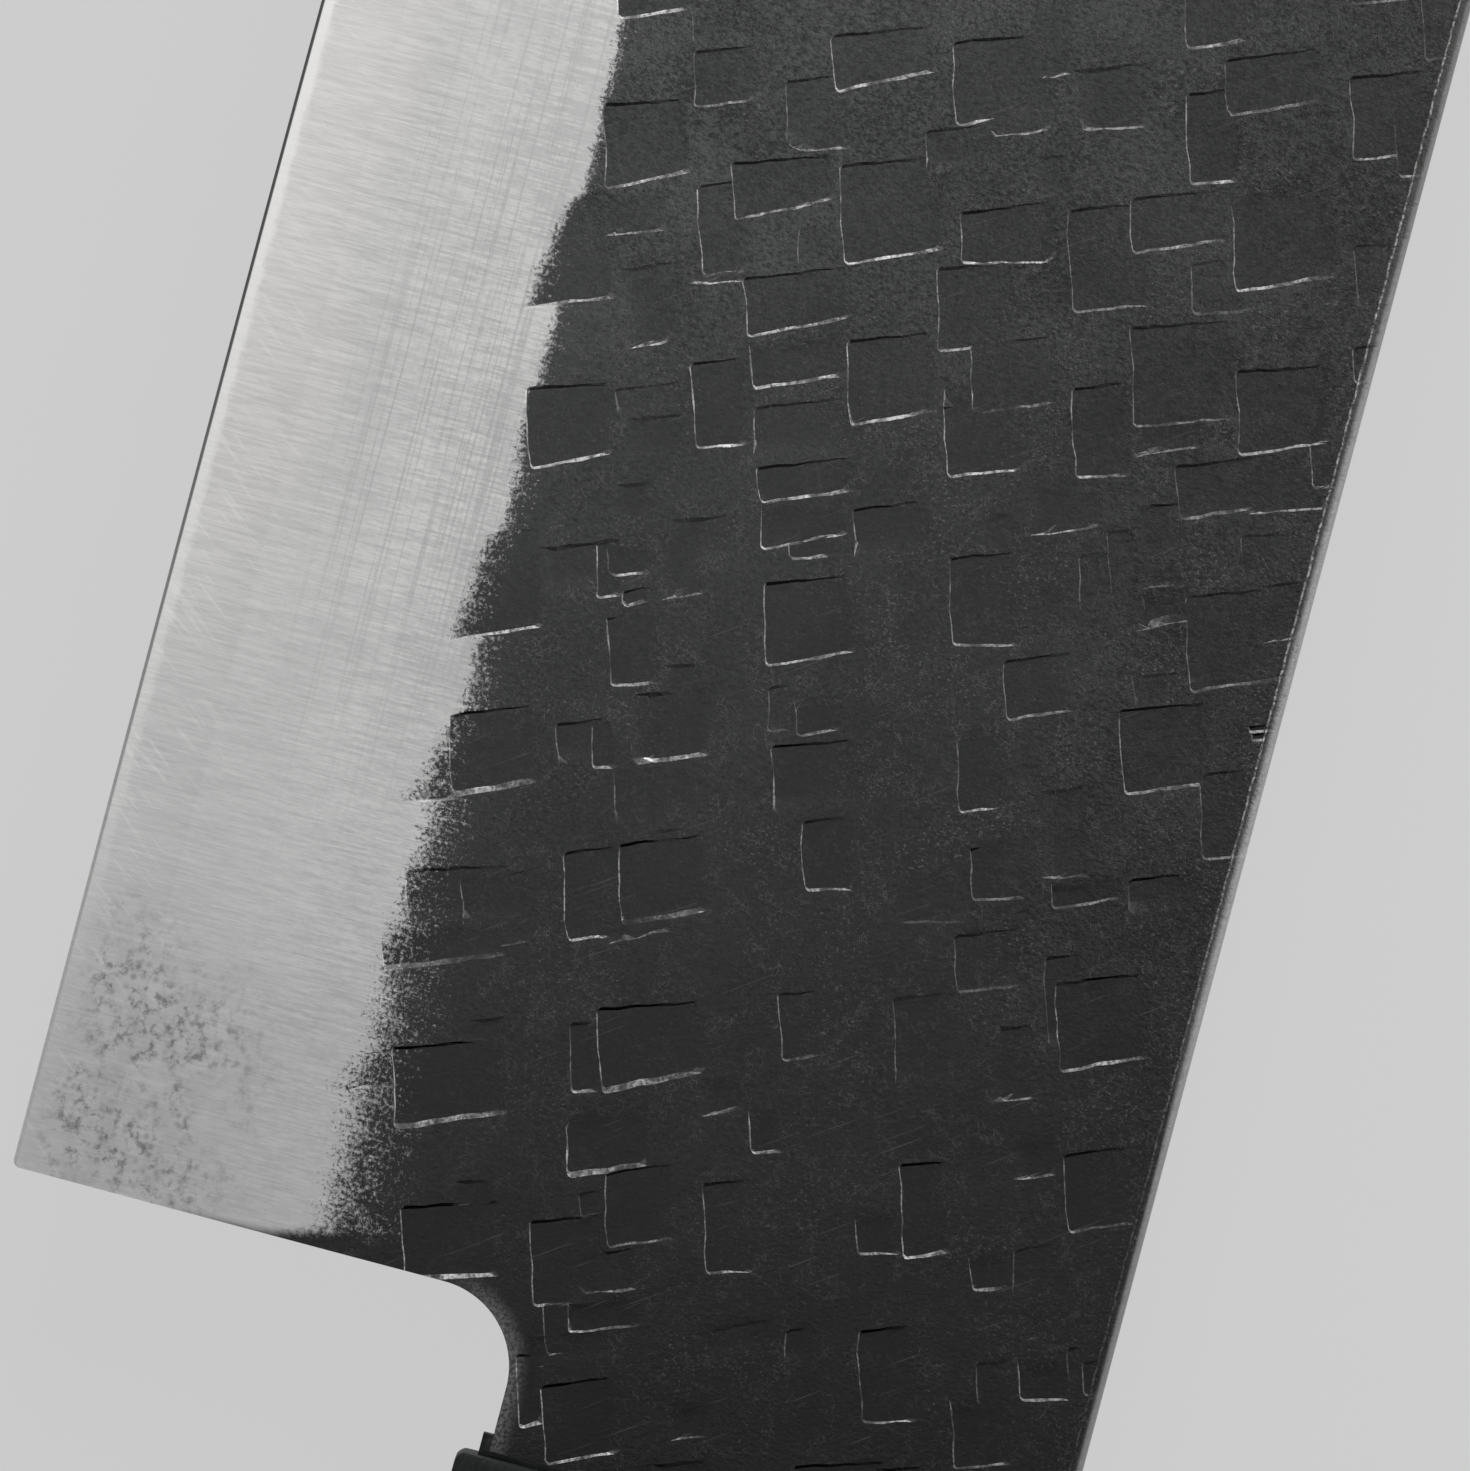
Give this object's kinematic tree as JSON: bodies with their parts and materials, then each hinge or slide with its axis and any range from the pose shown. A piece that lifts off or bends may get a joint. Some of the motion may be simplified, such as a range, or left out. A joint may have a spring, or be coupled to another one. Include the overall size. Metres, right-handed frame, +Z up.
{
  "type": "santoku knife",
  "caption": "Santoku kitchen knife with a hammered black forged blade, a bright ground bevel and an octagonal wooden handle with a dark horn ferrule.",
  "frame": {"origin": "under the middle of the knife's box, on the surface that it lies on", "axes": "+X to the blade's tip, +Y to the cutting edge, +Z up, out of the blade's left face"},
  "size_m": [0.3014, 0.048, 0.021],
  "materials": {
    "core_steel": "hard carbon steel, satin ground edge",
    "forged_cladding": "soft iron with hammered black forge scale, ground to bright satin on the bevel",
    "seal_resin": "black filling resin",
    "horn": "polished black buffalo horn",
    "handle_wood": "oiled walnut",
    "dowel_wood": "plain hardwood"
  },
  "bodies": {
    "root": {"core_steel": "core_steel", "left_cladding": "forged_cladding", "right_cladding": "forged_cladding", "tang_seal": "seal_resin", "ferrule": "horn", "handle_body": "handle_wood", "dowel": "dowel_wood"}
  },
  "joints": []
}
